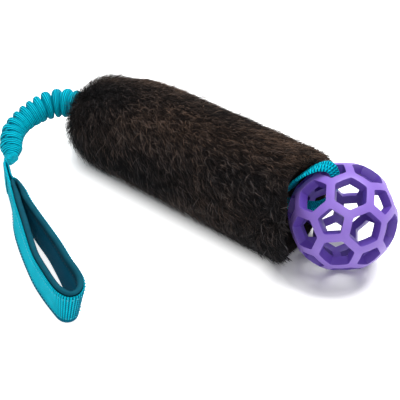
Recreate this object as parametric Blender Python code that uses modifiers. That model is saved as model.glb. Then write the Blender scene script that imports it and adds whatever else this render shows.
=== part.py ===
"""Bungee ball tug toy: fur sleeve, open lattice ball on a webbing loop, bungee and lined handle.

Metres, +Z up. The origin is on the floor under the middle of the sleeve, and +X runs along the
sleeve towards the ball. The toy lies at rest as it is laid down after play.
"""
import math

import bmesh
import bpy
from mathutils import Matrix, Vector

# Driving sizes
GAP = 0.0003                  # between pieces that touch
FLOOR_FLAT = 0.0005           # depth of the flat that a soft form rests on

BALL_RADIUS = 0.0415
BALL_WALL = 0.007
RIB_WIDTH = 0.0065
RIB_CHAMFER = 0.0009
WINDOW_CORNER = 0.0018        # how far along each side the windows' corners are cut
BALL_CENTRE = Vector((0.139, 0.0036, 0.0415))
TOP_WINDOW = Vector((-0.225, -0.069, 0.972))
FRONT_WINDOW = Vector((0.256, -0.851, 0.459))

SLEEVE_SIDES = 32

WEBBING_WIDTH = 0.025
WEBBING_THICK = 0.002
LINING_WIDTH = 0.031
LINING_THICK = 0.0042
STRAP_THICK = 0.0024

ELASTIC_RADIUS = 0.004
COVER_BORE = 0.0046
COVER_RADIUS = 0.0110
COVER_END_RADIUS = 0.0076
GATHERS = 13
GATHER_DEPTH = 0.0022
RINGS_PER_GATHER = 6

# Joint axes
NECK = Vector((-0.1235, 0.0117, 0.0418))            # where the bungee's webbing is held
HANDLE_BEND = Vector((-0.1345, -0.0821, 0.0243))    # where the handle's sewn end bends
STRAP_ROOT = Vector((0.0655, -0.0012, 0.0273))      # where the ball's strap is tacked
UP = Vector((0.0, 0.0, 1.0))


def clear_scene():
    for item in list(bpy.data.objects):
        bpy.data.objects.remove(item, do_unlink=True)


def new_collection(name):
    group = bpy.data.collections.new(name)
    bpy.context.scene.collection.children.link(group)
    return group


def make_material(name, colour, roughness, metallic=0.0):
    material = bpy.data.materials.new(name)
    material.use_nodes = True
    shader = material.node_tree.nodes["Principled BSDF"]
    shader.inputs["Base Color"].default_value = (*colour, 1.0)
    shader.inputs["Roughness"].default_value = roughness
    shader.inputs["Metallic"].default_value = metallic
    material.diffuse_color = (*colour, 1.0)
    return material


clear_scene()
TOY = new_collection("bungee_ball_tug_toy")
CUTTERS = new_collection("cutters")

RUBBER = make_material("ball_rubber", (0.23, 0.12, 0.62), 0.45)
FUR = make_material("fur_pile", (0.035, 0.022, 0.014), 0.9)
WEBBING = make_material("ribbed_webbing", (0.0, 0.42, 0.58), 0.6)
LINING = make_material("padded_lining", (0.01, 0.10, 0.16), 0.85)
ELASTIC = make_material("elastic_core", (0.70, 0.68, 0.62), 0.7)
THREAD = make_material("sewing_thread", (0.0, 0.30, 0.42), 0.55)


def add_object(name, mesh, material, group=None):
    item = bpy.data.objects.new(name, mesh)
    (group or TOY).objects.link(item)
    if material:
        mesh.materials.append(material)
    return item


def make_pivot(name, place, parent):
    """An empty on a joint's axis, which carries the pieces that move with it."""
    item = bpy.data.objects.new(name, None)
    item.empty_display_size = 0.01
    TOY.objects.link(item)
    hang(item, parent, place)
    return item


def hang(item, parent, place=None):
    """Parents the item and keeps it where it is, or puts it at the place in the model."""
    spot = item.location if place is None else place
    item.parent = parent
    item.location = spot - world_place(parent)


def world_place(item):
    return item.location + (world_place(item.parent) if item.parent else Vector((0.0, 0.0, 0.0)))


def mesh_from(bm, name):
    bmesh.ops.recalc_face_normals(bm, faces=bm.faces)
    mesh = bpy.data.meshes.new(name)
    bm.to_mesh(mesh)
    bm.free()
    return mesh


def smooth(mesh, angle=40.0):
    mesh.shade_smooth()
    mesh.set_sharp_from_angle(angle=math.radians(angle))


def curve_points(points, steps):
    """Points on the smooth curve through the given ones, steps to each span."""
    spread = [points[0] * 2 - points[1]] + list(points) + [points[-1] * 2 - points[-2]]
    line = []
    for i in range(1, len(spread) - 2):
        before, start, end, after = spread[i - 1:i + 3]
        for step in range(steps):
            t = step / steps
            line.append(0.5 * ((2 * start) + (end - before) * t
                               + (2 * before - 5 * start + 4 * end - after) * t ** 2
                               + (3 * start - before - 3 * end + after) * t ** 3))
    line.append(points[-1].copy())
    return line


def even_points(line, count):
    """The same line, resampled to points at equal distances along it."""
    lengths = [0.0]
    for a, b in zip(line, line[1:]):
        lengths.append(lengths[-1] + (b - a).length)
    result = []
    place = 0
    for i in range(count):
        target = lengths[-1] * i / (count - 1)
        while place < len(line) - 2 and lengths[place + 1] < target:
            place += 1
        span = lengths[place + 1] - lengths[place]
        result.append(line[place].lerp(line[place + 1], (target - lengths[place]) / span))
    return result


def vectors(rows):
    return [Vector(row) for row in rows]


# The lattice ball: a truncated icosahedron whose faces are windows

def window_turn():
    """Rotation from the upright icosahedron to the ball's pose, by two neighbouring windows."""
    bm = bmesh.new()
    bmesh.ops.create_icosphere(bm, subdivisions=1, radius=1.0)
    top = max(bm.verts, key=lambda v: v.co.z)
    beside = top.link_edges[0].other_vert(top)
    start = frame_of(top.co, beside.co)
    bm.free()
    return frame_of(TOP_WINDOW, FRONT_WINDOW) @ start.inverted()


def frame_of(main, side):
    z = main.normalized()
    x = (side - side.project(z)).normalized()
    return Matrix((x, z.cross(x), z)).transposed().to_4x4()


def make_ball():
    bm = bmesh.new()
    bmesh.ops.create_icosphere(bm, subdivisions=1, radius=BALL_RADIUS)
    side = next(iter(bm.edges)).calc_length()
    bmesh.ops.bevel(bm, geom=list(bm.verts), offset=side / 3, affect="VERTICES",
                    offset_type="OFFSET", segments=1, profile=0.5)
    reach = max(v.co.length for v in bm.verts)
    bmesh.ops.scale(bm, vec=Vector((1, 1, 1)) * (BALL_RADIUS / reach), verts=bm.verts)
    windows = list(bm.faces)
    bmesh.ops.inset_individual(bm, faces=windows, thickness=RIB_WIDTH / 2, use_even_offset=True)
    inner = {v for face in windows for v in face.verts}
    along = [e for e in bm.edges if (e.verts[0] in inner) == (e.verts[1] in inner)]
    bmesh.ops.subdivide_edges(bm, edges=along, cuts=1)
    windows = [face for face in bm.faces if len(face.verts) > 4]
    corners = {loop.vert for face in windows for loop in face.loops
               if loop.calc_angle() < math.radians(150)}
    bmesh.ops.bevel(bm, geom=list(corners), offset=WINDOW_CORNER, affect="VERTICES",
                    offset_type="OFFSET", segments=1, profile=0.5)
    windows = [face for face in bm.faces if len(face.verts) > 9]
    bmesh.ops.delete(bm, geom=windows, context="FACES")
    for vert in bm.verts:
        vert.co = vert.co.normalized() * BALL_RADIUS
    bmesh.ops.transform(bm, matrix=window_turn(), verts=bm.verts)
    item = add_object("lattice_ball", mesh_from(bm, "lattice_ball"), RUBBER)
    item.location = BALL_CENTRE
    wall = item.modifiers.new("wall", "SOLIDIFY")
    wall.thickness = BALL_WALL
    wall.offset = -1.0
    edge = item.modifiers.new("rib_edges", "BEVEL")
    edge.width = RIB_CHAMFER
    edge.segments = 1
    edge.limit_method = "ANGLE"
    edge.angle_limit = math.radians(50)
    smooth(item.data)
    return item


BALL = make_ball()


# The fur sleeve: outer pile and inner hollow turned as one profile along X

SLEEVE_PROFILE = (                       # along X, radius; outside from the closed end, then inside
    (-0.1220, 0.0), (-0.1212, 0.0100), (-0.1190, 0.0180), (-0.1140, 0.0262), (-0.1056, 0.0335),
    (-0.0981, 0.0370), (-0.0900, 0.0395), (-0.0813, 0.0411), (-0.0720, 0.0420), (-0.0400, 0.0426),
    (0.0, 0.0431), (0.0400, 0.0436), (0.0750, 0.0440), (0.0980, 0.0441), (0.1040, 0.0430),
    (0.1055, 0.0403), (0.1045, 0.0378), (0.1000, 0.0368), (0.0850, 0.0345), (0.0400, 0.0330),
    (-0.0200, 0.0322), (-0.0720, 0.0314), (-0.0930, 0.0280), (-0.1040, 0.0210), (-0.1100, 0.0110),
    (-0.1115, 0.0),
)
SLEEVE_LINE = (                          # along X, sideways place and height of its middle
    (-0.1220, 0.0095, 0.0372), (-0.1000, 0.0090, 0.0385), (-0.0720, 0.0077, 0.0402),
    (-0.0400, 0.0059, 0.0408), (0.0, 0.0019, 0.0413), (0.0400, -0.0024, 0.0418),
    (0.0750, -0.0060, 0.0421), (0.1055, -0.0084, 0.0422),
)
SLEEVE_SQUASH = 0.97                     # height over width of its section
NECK_SLOT = Vector((0.0185, 0.0074, 0.021))
NECK_SLOT_START = 0.003                  # the slot's outer face, outside the joint's axis
MOUTH_REACH = 0.0115                     # how far the mouth's lower near side runs past the rest
MOUTH_BAND = (0.060, 0.098)              # along X, where the pile starts and ends to run on
MOUTH_TURNS = (105.0, 165.0, 235.0, 300.0)   # round the section: starts, full, full, ends


def along_line(x):
    """The sleeve's middle at x, straight between the rows of its line."""
    rows = vectors(SLEEVE_LINE)
    for a, b in zip(rows, rows[1:]):
        if x <= b.x:
            return a.lerp(b, max(0.0, (x - a.x) / (b.x - a.x)))
    return rows[-1]


def ease(x, start, end):
    share = min(max((x - start) / (end - start), 0.0), 1.0)
    return share * share * (3 - 2 * share)


def mouth_shift(x, y, z):
    """How far a point of the turned sleeve moves along X to slant the mouth."""
    turn = math.degrees(math.atan2(z, y)) % 360
    rise, full, fall, none = MOUTH_TURNS
    return MOUTH_REACH * ease(x, *MOUTH_BAND) * ease(turn, rise, full) * (1 - ease(turn, fall, none))


def make_sleeve():
    bm = bmesh.new()
    line = [bm.verts.new((x, 0.0, -radius)) for x, radius in SLEEVE_PROFILE]
    edges = [bm.edges.new(pair) for pair in zip(line, line[1:])]
    half_step = math.pi / SLEEVE_SIDES
    bmesh.ops.rotate(bm, verts=line, cent=(0, 0, 0), matrix=Matrix.Rotation(half_step, 3, "X"))
    bmesh.ops.spin(bm, geom=line + edges, axis=(1, 0, 0), cent=(0, 0, 0), steps=SLEEVE_SIDES,
                   angle=math.tau, use_merge=True)
    bmesh.ops.remove_doubles(bm, verts=bm.verts, dist=0.00005)
    for vert in bm.verts:
        vert.co.x += mouth_shift(*vert.co)
        middle = along_line(vert.co.x)
        vert.co.y += middle.y
        vert.co.z = vert.co.z * SLEEVE_SQUASH + middle.z
    cut = bmesh.ops.bisect_plane(bm, geom=list(bm.verts) + list(bm.edges) + list(bm.faces),
                                 plane_co=(0, 0, 0), plane_no=(0, 0, -1), clear_outer=True)
    rim = [item for item in cut["geom_cut"] if isinstance(item, bmesh.types.BMEdge)]
    bmesh.ops.holes_fill(bm, edges=rim, sides=0)
    item = add_object("fur_sleeve", mesh_from(bm, "fur_sleeve"), FUR)
    slot = item.modifiers.new("neck_slot", "BOOLEAN")
    slot.operation = "DIFFERENCE"
    slot.object = neck_cutter()
    smooth(item.data)
    return item


def neck_cutter():
    bm = bmesh.new()
    bmesh.ops.create_cube(bm, size=1.0, matrix=Matrix.Diagonal((*NECK_SLOT, 1.0)))
    item = add_object("neck_slot_cutter", mesh_from(bm, "neck_slot_cutter"), None, CUTTERS)
    item.location = NECK + Vector((NECK_SLOT.x / 2 - NECK_SLOT_START, 0.0, 0.0))
    item.hide_render = True
    item.display_type = "WIRE"
    return item


SLEEVE = make_sleeve()


# Straps: a grid between a lower and an upper edge, given thickness

def make_strap(name, low, high, thick, side, material, rows=1):
    """A ribbon between two matching lines; side 1 thickens it outwards, -1 the other way."""
    bm = bmesh.new()
    grid = []
    for a, b in zip(low, high):
        grid.append([bm.verts.new(a.lerp(b, row / rows)) for row in range(rows + 1)])
    for start, end in zip(grid, grid[1:]):
        for row in range(rows):
            bm.faces.new((start[row], end[row], end[row + 1], start[row + 1]))
    mesh = bpy.data.meshes.new(name)
    bm.to_mesh(mesh)
    bm.free()
    item = add_object(name, mesh, material)
    body = item.modifiers.new("thickness", "SOLIDIFY")
    body.thickness = thick
    body.offset = side
    body.use_even_offset = True
    smooth(mesh)
    return item


def strap_edges(rows, steps):
    """Both edges of a strap from rows of (middle, half width vector), smoothed and evened."""
    middles = curve_points(vectors(row[0] for row in rows), steps)
    halves = curve_points(vectors(row[1] for row in rows), steps)
    low = [m - h for m, h in zip(middles, halves)]
    high = [m + h for m, h in zip(middles, halves)]
    return low, high


# Webbing inside the sleeve, from the neck to the ball strap's tack
CORE_ROWS = (
    ((-0.1180, 0.0117, 0.0418), (0.0, 0.0, 0.0085)),
    ((-0.1090, 0.0114, 0.0412), (0.0, 0.0, 0.0085)),
    ((-0.1000, 0.0104, 0.0365), (0.0, 0.0030, 0.0090)),
    ((-0.0800, 0.0082, 0.0260), (0.0, 0.0095, 0.0070)),
    ((-0.0550, 0.0055, 0.0190), (0.0, 0.0118, 0.0030)),
    ((-0.0150, 0.0015, 0.0165), (0.0, 0.0125, 0.0)),
    ((0.0250, -0.0012, 0.0168), (0.0, 0.0125, 0.0)),
    ((0.0560, -0.0015, 0.0185), (0.0, 0.0118, 0.0)),
)
core_low, core_high = strap_edges(CORE_ROWS, 4)
make_strap("core_webbing", core_low, core_high, WEBBING_THICK, 0.0, WEBBING)


# Ball strap: out of the sleeve over two ribs, in at the top window and back out at the side one

def ball_polar(degrees, radius, y):
    """A point by its angle up from -X round the ball's middle and its distance from it."""
    turn = math.radians(degrees)
    return Vector((BALL_CENTRE.x - radius * math.cos(turn), y,
                   BALL_CENTRE.z + radius * math.sin(turn)))


STRAP_Y = -0.0007
STRAP_ROWS = (                           # place, half width
    (Vector((0.0620, -0.0012, 0.0236)), 0.0098),
    (Vector((0.0730, -0.0012, 0.0310)), 0.0100),
    (ball_polar(5, 0.0500, STRAP_Y), 0.0100),
    (ball_polar(19, 0.0450, STRAP_Y), 0.0100),
    (ball_polar(39, 0.0440, STRAP_Y), 0.0100),
    (ball_polar(57, 0.0447, STRAP_Y), 0.0092),
    (ball_polar(67.5, 0.0455, -0.0003), 0.0072),
    (ball_polar(75, 0.0430, 0.0000), 0.0056),
    (ball_polar(78.5, 0.0382, 0.0002), 0.0052),
    (ball_polar(78.5, 0.0320, 0.0002), 0.0054),
    (ball_polar(71, 0.0235, 0.0000), 0.0068),
    (ball_polar(40, 0.0170, -0.0003), 0.0078),
    (ball_polar(4, 0.0240, STRAP_Y), 0.0076),
    (ball_polar(-3, 0.0380, STRAP_Y), 0.0074),
    (ball_polar(-7, 0.0510, STRAP_Y), 0.0088),
    (Vector((0.0740, -0.0012, 0.0270)), 0.0096),
    (Vector((0.0620, -0.0012, 0.0204)), 0.0098),
)


def make_ball_strap():
    middles = curve_points([row[0] for row in STRAP_ROWS], 3)
    halves = curve_points([Vector((0.0, row[1], 0.0)) for row in STRAP_ROWS], 3)
    low = [m - h for m, h in zip(middles, halves)]
    high = [m + h for m, h in zip(middles, halves)]
    return make_strap("ball_strap", low, high, STRAP_THICK, 0.0, WEBBING)


make_ball_strap()


# Bungee: webbing end in the neck, gathered cover, elastic core, and the flat end at the handle

BUNGEE_ROUTE = vectors((
    (-0.1315, 0.0076, 0.0422), (-0.1390, 0.0045, 0.0425), (-0.1462, 0.0008, 0.0422),
    (-0.1525, -0.0048, 0.0412), (-0.1568, -0.0120, 0.0394), (-0.1602, -0.0198, 0.0370),
    (-0.1626, -0.0280, 0.0342), (-0.1636, -0.0362, 0.0310), (-0.1622, -0.0445, 0.0276),
    (-0.1580, -0.0520, 0.0242), (-0.1522, -0.0586, 0.0208), (-0.1468, -0.0638, 0.0182),
))
ELASTIC_SHORT = 0.0012                   # the core stops this far inside the cover's ends
ROUTE_SAMPLES = 600

NECK_AIM = Vector((-0.87, -0.49, 0.0)).normalized()
NECK_INNER = 0.0036                      # the webbing's reach into the sleeve from the axis
NECK_OUTER = 0.0086                      # and out to the cover
NECK_HALF = 0.0085
NECK_END_HALF = 0.0062


def neck_webbing_edges():
    rows = ((NECK - NECK_AIM * NECK_INNER, NECK_HALF), (NECK, NECK_HALF),
            (NECK + NECK_AIM * NECK_OUTER, NECK_END_HALF))
    return [place - UP * half for place, half in rows], [place + UP * half for place, half in rows]


neck_low, neck_high = neck_webbing_edges()
make_strap("neck_webbing", neck_low, neck_high, WEBBING_THICK, 0.0, WEBBING)


def tube_object(name, points, radii, resolution, material, group=None):
    """A round tube with flat ends along the points, each with its own radius."""
    curve = bpy.data.curves.new(name, "CURVE")
    curve.dimensions = "3D"
    curve.bevel_depth = 1.0
    curve.bevel_resolution = resolution
    curve.use_fill_caps = True
    spline = curve.splines.new("POLY")
    spline.points.add(len(points) - 1)
    for place, point, radius in zip(spline.points, points, radii):
        place.co = (*point, 1.0)
        place.radius = radius
    item = add_object(name, curve, material, group)
    return item


def as_mesh(item):
    """The curve object made a mesh of one closed body."""
    graph = bpy.context.evaluated_depsgraph_get()
    mesh = bpy.data.meshes.new_from_object(item.evaluated_get(graph))
    bm = bmesh.new()
    bm.from_mesh(mesh)
    bmesh.ops.remove_doubles(bm, verts=bm.verts, dist=0.00001)
    bmesh.ops.recalc_face_normals(bm, faces=bm.faces)
    bm.to_mesh(mesh)
    bm.free()
    name = item.name
    group = item.users_collection[0]
    place = item.matrix_world.copy()
    bpy.data.objects.remove(item, do_unlink=True)
    mesh.name = name
    solid = bpy.data.objects.new(name, mesh)
    solid.matrix_world = place
    group.objects.link(solid)
    return solid


def gather_radius(part):
    """Cover radius at a share of its length: full folds that shrink at both ends."""
    fold = abs(math.sin(math.pi * GATHERS * part))
    swell = COVER_RADIUS - 0.0012 * abs(2 * part - 1) ** 2
    swell -= (COVER_RADIUS - COVER_END_RADIUS) * max(0.0, 6 * part - 5) * 0.7
    return swell - GATHER_DEPTH * (1 - fold ** 0.6)


def make_cover():
    count = GATHERS * RINGS_PER_GATHER + 1
    points = even_points(curve_points(BUNGEE_ROUTE, ROUTE_SAMPLES // 10), count)
    radii = [gather_radius(i / (count - 1)) for i in range(count)]
    cover = as_mesh(tube_object("gathered_cover", points, radii, 4, WEBBING))
    reach = [points[0] * 2 - points[1]] + points[::2] + [points[-1] * 2 - points[-2]]
    bore = as_mesh(tube_object("cover_bore", reach, [COVER_BORE] * len(reach), 2, None, CUTTERS))
    bore.hide_render = True
    bore.display_type = "WIRE"
    cut = cover.modifiers.new("bore", "BOOLEAN")
    cut.operation = "DIFFERENCE"
    cut.object = bore
    smooth(cover.data, 60)


def make_elastic():
    line = even_points(curve_points(BUNGEE_ROUTE, ROUTE_SAMPLES // 10), ROUTE_SAMPLES)
    length = sum((b - a).length for a, b in zip(line, line[1:]))
    skip = round(ELASTIC_SHORT / length * ROUTE_SAMPLES)
    points = even_points(line[skip:-skip], GATHERS * 2 + 1)
    as_mesh(tube_object("elastic_cord", points, [ELASTIC_RADIUS] * len(points), 2, ELASTIC))
    print("elastic core length", round(length - 2 * ELASTIC_SHORT, 4))


make_cover()
make_elastic()


# Handle path in plan: the line between webbing and lining, from the sewn end round the nose and
# back, at the lower edge and at the upper edge, which lean apart towards the nose

HANDLE_PATH = (                          # low x, y, high x, y
    (-0.1339, -0.0825, -0.1339, -0.0825),
    (-0.1280, -0.0869, -0.1280, -0.0869),
    (-0.1193, -0.0935, -0.1193, -0.0935),
    (-0.1106, -0.1000, -0.1097, -0.1007),
    (-0.0985, -0.1099, -0.0965, -0.1106),
    (-0.0852, -0.1225, -0.0836, -0.1203),
    (-0.0680, -0.1353, -0.0661, -0.1327),
    (-0.0451, -0.1502, -0.0441, -0.1488),
    (-0.0255, -0.1618, -0.0255, -0.1617),
    (-0.0079, -0.1702, -0.0076, -0.1710),
    (0.0085, -0.1768, 0.0105, -0.1795),
    (0.0165, -0.1794, 0.0218, -0.1822),
    (0.0212, -0.1786, 0.0290, -0.1808),
    (0.0232, -0.1748, 0.0318, -0.1754),
    (0.0212, -0.1692, 0.0295, -0.1675),
    (0.0150, -0.1625, 0.0217, -0.1595),
    (0.0062, -0.1558, 0.0103, -0.1531),
    (-0.0035, -0.1498, -0.0011, -0.1481),
    (-0.0215, -0.1390, -0.0205, -0.1380),
    (-0.0389, -0.1294, -0.0389, -0.1294),
    (-0.0609, -0.1193, -0.0609, -0.1193),
    (-0.0794, -0.1104, -0.0794, -0.1104),
    (-0.0945, -0.0999, -0.0945, -0.0999),
    (-0.1036, -0.0932, -0.1036, -0.0932),
    (-0.1082, -0.0935, -0.1082, -0.0935),
    (-0.1132, -0.0960, -0.1132, -0.0960),
    (-0.1189, -0.0929, -0.1189, -0.0929),
    (-0.1276, -0.0863, -0.1276, -0.0863),
    (-0.1335, -0.0819, -0.1335, -0.0819),
)
LINING_ROWS = (3, 23)                    # rows of the path between which the lining runs
WEBBING_LOW = 0.003
PATH_STEPS = 5


def handle_edges(first, last, bottom, top):
    """Two lines on the handle's leaning wall, at the heights asked for."""
    rows = HANDLE_PATH[first:last + 1]
    floor = curve_points(vectors((row[0], row[1], 0.0) for row in rows), PATH_STEPS)
    rim = curve_points(vectors((row[2], row[3], LINING_WIDTH) for row in rows), PATH_STEPS)
    low = [a.lerp(b, bottom / LINING_WIDTH) for a, b in zip(floor, rim)]
    high = [a.lerp(b, top / LINING_WIDTH) for a, b in zip(floor, rim)]
    return low, high


def shifted(line, distance):
    """The line moved sideways in plan, to the left of its own direction."""
    moved = []
    for i, point in enumerate(line):
        run = line[min(i + 1, len(line) - 1)] - line[max(i - 1, 0)]
        moved.append(point + Vector((-run.y, run.x, 0.0)).normalized() * distance)
    return moved


def make_handle():
    low, high = handle_edges(0, len(HANDLE_PATH) - 1, WEBBING_LOW, WEBBING_LOW + WEBBING_WIDTH)
    make_strap("handle_webbing", low, high, WEBBING_THICK, 1.0, WEBBING)
    low, high = handle_edges(*LINING_ROWS, 0.0, LINING_WIDTH)
    low = shifted(low, GAP)[1:-1]
    high = shifted(high, GAP)[1:-1]
    lining = as_mesh(make_strap("handle_lining", low, high, LINING_THICK, -1.0, LINING))
    for vert in lining.data.vertices:
        vert.co.z = min(max(vert.co.z, 0.0), LINING_WIDTH)


make_handle()


# Flat end of the bungee: lofted from the cover's round end to a flat edge, whose upper corner
# carries a short lug that is sewn to the handle's webbing

TAIL_SIDES = 16
TAIL_SQUARE = 0.55                       # below 1, the sections are fuller than an ellipse
TAIL_SECTIONS = (                        # middle, half width, half thickness, width direction
    ((-0.1463, -0.0643, 0.0180), 0.0074, 0.0060, (0.20, -0.40, 0.89)),
    ((-0.1446, -0.0662, 0.0184), 0.0079, 0.0046, (0.18, -0.48, 0.86)),
    ((-0.1415, -0.0700, 0.0196), 0.0086, 0.0024, (0.17, -0.55, 0.82)),
    ((-0.1388, -0.0740, 0.0210), 0.0089, 0.0013, (0.17, -0.57, 0.80)),
    ((-0.1386, -0.0747, 0.0223), 0.0078, 0.0012, (0.17, -0.57, 0.80)),
    ((-0.1374, -0.0786, 0.0247), 0.0046, 0.0012, (0.04, -0.20, 0.98)),
    ((-0.1350, -0.0816, 0.0243), 0.0041, 0.0012, (0.0, 0.0, 1.0)),
)


def tail_ring(bm, section, run):
    middle, half_width, half_thick, width_dir = section
    across = Vector(width_dir).normalized()
    out = run.cross(across).normalized()
    ring = []
    for i in range(TAIL_SIDES):
        turn = math.tau * i / TAIL_SIDES
        side = math.copysign(abs(math.cos(turn)) ** TAIL_SQUARE, math.cos(turn))
        rise = math.copysign(abs(math.sin(turn)) ** TAIL_SQUARE, math.sin(turn))
        ring.append(bm.verts.new(Vector(middle) + across * (half_width * side)
                                 + out * (half_thick * rise)))
    return ring


def make_tail():
    bm = bmesh.new()
    rings = []
    places = [Vector(section[0]) for section in TAIL_SECTIONS]
    for i, section in enumerate(TAIL_SECTIONS):
        run = places[min(i + 1, len(places) - 1)] - places[max(i - 1, 0)]
        rings.append(tail_ring(bm, section, run))
    for a, b in zip(rings, rings[1:]):
        for i in range(TAIL_SIDES):
            j = (i + 1) % TAIL_SIDES
            bm.faces.new((a[i], a[j], b[j], b[i]))
    bm.faces.new(rings[0][::-1])
    bm.faces.new(rings[-1])
    item = add_object("bungee_tail", mesh_from(bm, "bungee_tail"), WEBBING)
    smooth(item.data, 50)


make_tail()


# Sewing: each line of thread or bar tack is one raised closed piece just off the webbing

def make_thread(name, points, radius):
    """Zigzag or running thread as one thin tube."""
    as_mesh(tube_object(name, points, [radius] * len(points), 1, THREAD))


def bar_tack(name, middle, along, out, size, strokes):
    """A zigzag of thread on a face that looks along out, as long and high as size says."""
    across = out.cross(along)
    points = []
    for i in range(strokes + 1):
        share = i / strokes - 0.5
        side = 0.5 if i % 2 else -0.5
        points.append(middle + along * (size[0] * share) + across * (size[1] * side)
                      + out * (TACK_RADIUS + GAP))
    make_thread(name, points, TACK_RADIUS)


SEAM_INSET = 0.0025                      # seams from the webbing's edges
SEAM_RADIUS = 0.00045
TACK_RADIUS = 0.0004


def seam_line(height):
    """Points of a seam on the webbing's outer face, along the lined part of the handle."""
    low, high = handle_edges(LINING_ROWS[0], LINING_ROWS[1], height, height)
    return shifted(low, -(WEBBING_THICK + GAP + SEAM_RADIUS))[2:-2]


make_thread("lower_seam", seam_line(WEBBING_LOW + SEAM_INSET), SEAM_RADIUS)
make_thread("upper_seam", seam_line(WEBBING_LOW + WEBBING_WIDTH - SEAM_INSET), SEAM_RADIUS)

LEG_RUN = Vector((0.80, -0.60, 0.0))     # along the handle's sewn end, seen from outside
LEG_OUT = Vector((-0.60, -0.80, 0.0))
LEG_TACK = Vector((-0.1245, -0.0896, 0.0155))
bar_tack("handle_tack", LEG_TACK + LEG_OUT * WEBBING_THICK, LEG_RUN, LEG_OUT,
         (0.0060, 0.0190), 10)

neck_side = UP.cross(NECK_AIM)
bar_tack("neck_tack", NECK + NECK_AIM * 0.0040 + neck_side * (WEBBING_THICK / 2),
         NECK_AIM, neck_side, (0.0030, 0.0110), 8)

STRAP_RUN = Vector((0.83, 0.0, 0.56))    # along the ball strap at its tack
STRAP_OUT = Vector((-0.56, 0.0, 0.83))
bar_tack("strap_tack", STRAP_ROOT, STRAP_RUN, STRAP_OUT, (0.0050, 0.0150), 8)


# Each moving body's pieces hang on an empty at its joint, and the empties on one another
BODIES = (                               # pivot, place, what carries it, pieces
    ("bungee_pivot", NECK, "fur_sleeve",
     ("neck_webbing", "neck_tack", "gathered_cover", "elastic_cord")),
    ("bungee_end_pivot", Vector(TAIL_SECTIONS[0][0]), "bungee_pivot", ("bungee_tail",)),
    ("handle_pivot", HANDLE_BEND, "bungee_end_pivot",
     ("handle_webbing", "handle_lining", "handle_tack", "lower_seam", "upper_seam")),
    ("ball_loop_pivot", STRAP_ROOT, "fur_sleeve", ("ball_strap", "strap_tack")),
    ("ball_pivot", BALL_CENTRE, "ball_loop_pivot", ("lattice_ball",)),
)
hang(TOY.objects["core_webbing"], SLEEVE)
for pivot_name, pivot_place, carrier, pieces in BODIES:
    pivot = make_pivot(pivot_name, pivot_place, TOY.objects[carrier])
    for piece in pieces:
        hang(TOY.objects[piece], pivot)
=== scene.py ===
# Bungee ball tug toy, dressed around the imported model.
import math

import bmesh
import bpy
import numpy as np
from mathutils import Matrix, Vector


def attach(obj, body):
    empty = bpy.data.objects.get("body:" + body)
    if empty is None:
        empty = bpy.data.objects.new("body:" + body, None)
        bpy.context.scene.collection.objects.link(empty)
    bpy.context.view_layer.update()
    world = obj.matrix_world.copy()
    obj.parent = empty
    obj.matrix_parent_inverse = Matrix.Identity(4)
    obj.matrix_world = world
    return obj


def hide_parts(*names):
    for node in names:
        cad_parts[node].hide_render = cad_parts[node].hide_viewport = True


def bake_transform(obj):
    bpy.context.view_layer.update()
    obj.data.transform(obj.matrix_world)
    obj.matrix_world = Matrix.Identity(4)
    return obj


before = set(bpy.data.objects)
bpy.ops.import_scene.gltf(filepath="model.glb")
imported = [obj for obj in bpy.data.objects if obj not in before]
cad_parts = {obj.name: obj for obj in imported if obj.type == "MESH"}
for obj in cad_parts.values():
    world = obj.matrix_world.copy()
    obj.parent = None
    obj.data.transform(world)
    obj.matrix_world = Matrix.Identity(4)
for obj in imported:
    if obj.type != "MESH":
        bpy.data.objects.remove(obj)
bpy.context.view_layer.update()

scene = bpy.context.scene
scene.view_settings.view_transform = "Standard"


def addItem(name, data):
    item = bpy.data.objects.new(name, data)
    scene.collection.objects.link(item)
    return item


# Camera first, at the angle of the picture
camera = {"place": (0.5032, -0.6499, 0.5655), "tilt": 34.5, "turn": 37.41, "lens": 108}


def placeCamera():
    lens = bpy.data.cameras.new("pictureCamera")
    lens.lens = camera["lens"]
    lens.sensor_width = 36
    eye = addItem("pictureCamera", lens)
    eye.location = camera["place"]
    eye.rotation_euler = (math.radians(90 - camera["tilt"]), 0, math.radians(camera["turn"]))
    scene.camera = eye


placeCamera()
print("camera placed")


# Shader helpers: sums are written as plain expressions on signals
def operation(kind):
    return lambda signal, other: signal.maths(kind, other)


class Signal:
    __add__ = __radd__ = operation("ADD")
    __mul__ = __rmul__ = operation("MULTIPLY")
    __sub__ = operation("SUBTRACT")
    __pow__ = operation("POWER")

    def __init__(self, finish, socket):
        self.finish = finish
        self.socket = socket

    def maths(self, kind, *others):
        return self.finish.node("Math", dict(enumerate((self,) + others)), operation=kind)

    def __rsub__(self, other):
        return self.finish.node("Math", {0: other, 1: self}, operation="SUBTRACT")

    def clamp(self):
        return self.finish.node("Clamp", {0: self})

    # takes low to 0 and high to 1, clamped
    def spread(self, low, high):
        return ((self - low) * (1 / (high - low))).clamp()

    # rises and falls between 0 and 1, once in each pitch
    def wave(self, pitch=1):
        return (self * (2 * math.pi / pitch)).maths("SINE") * 0.5 + 0.5


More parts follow.
